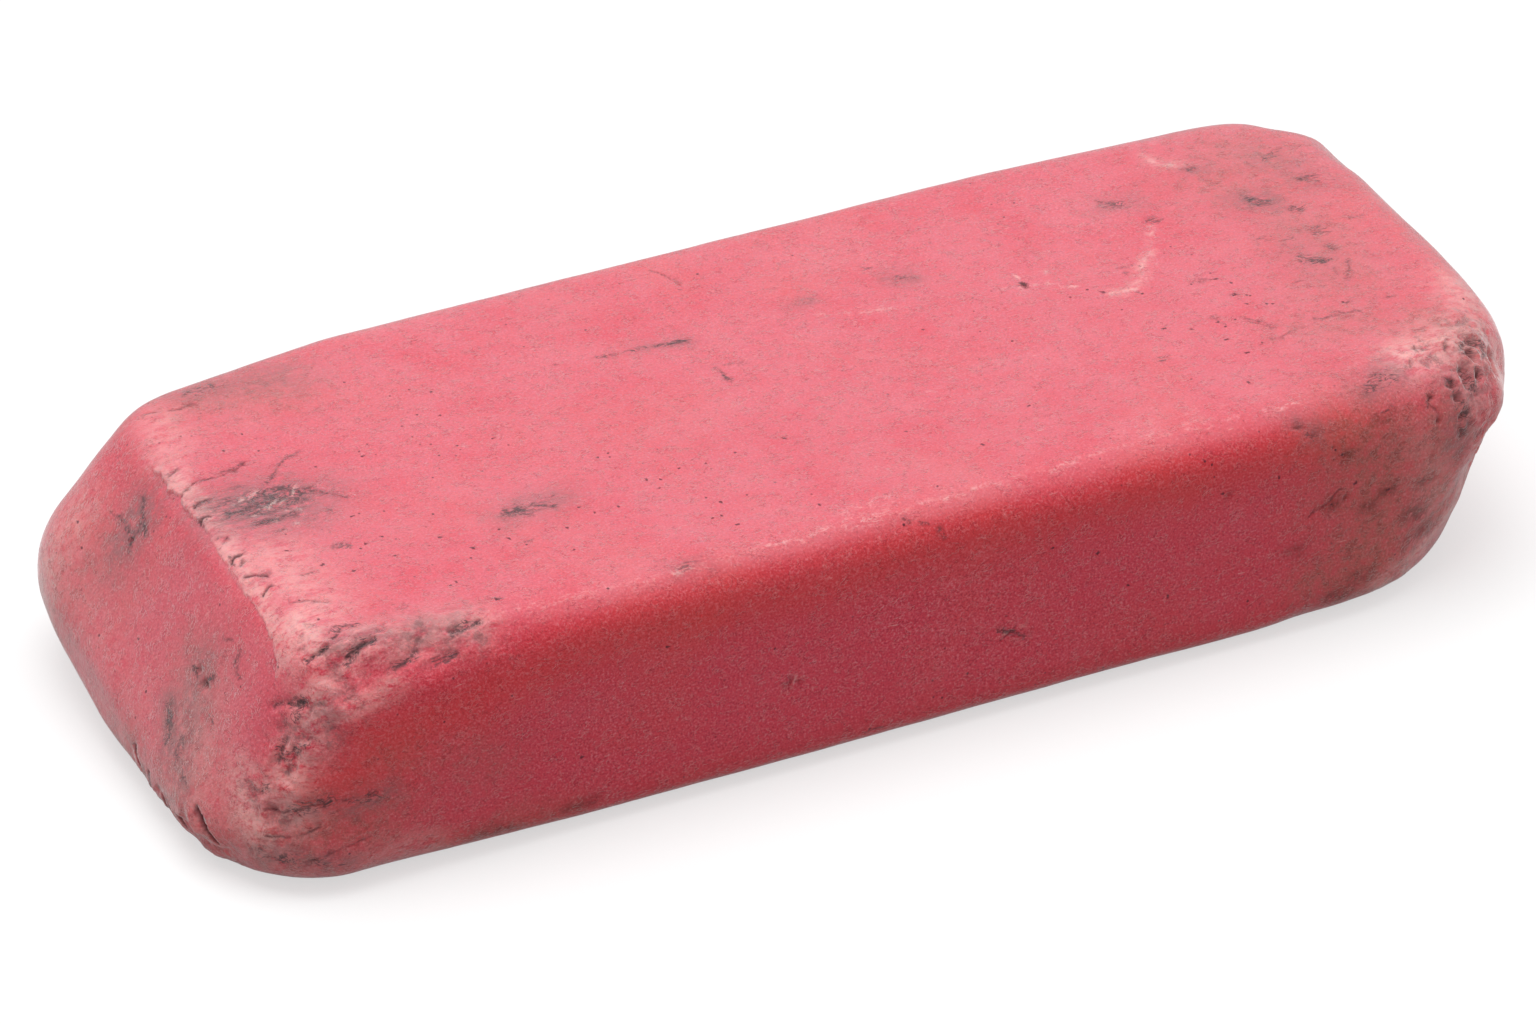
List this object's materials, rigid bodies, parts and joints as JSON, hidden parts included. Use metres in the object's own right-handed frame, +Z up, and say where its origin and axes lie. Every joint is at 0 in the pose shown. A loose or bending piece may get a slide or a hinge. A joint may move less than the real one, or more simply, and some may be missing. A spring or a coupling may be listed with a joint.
{
  "type": "rubber eraser",
  "caption": "Worn block eraser of pink rubber, a parallelogram in side view, with slanted ends, rounded edges and rubbed, chipped corners.",
  "frame": {"origin": "middle of the bottom face's outline box, on the plane that the eraser rests on", "axes": "+X along the length from the end that leans in at the top to the end that leans in at the bottom, +Y across the width from the front long side to the back one, +Z up through the thickness"},
  "size_m": [0.058, 0.023, 0.0101],
  "materials": {
    "pink_rubber": "matte vulcanised rubber, faintly dusty, with graphite smudges and pale scuffed edges"
  },
  "bodies": {
    "root": {"eraser": "pink_rubber"}
  },
  "joints": []
}
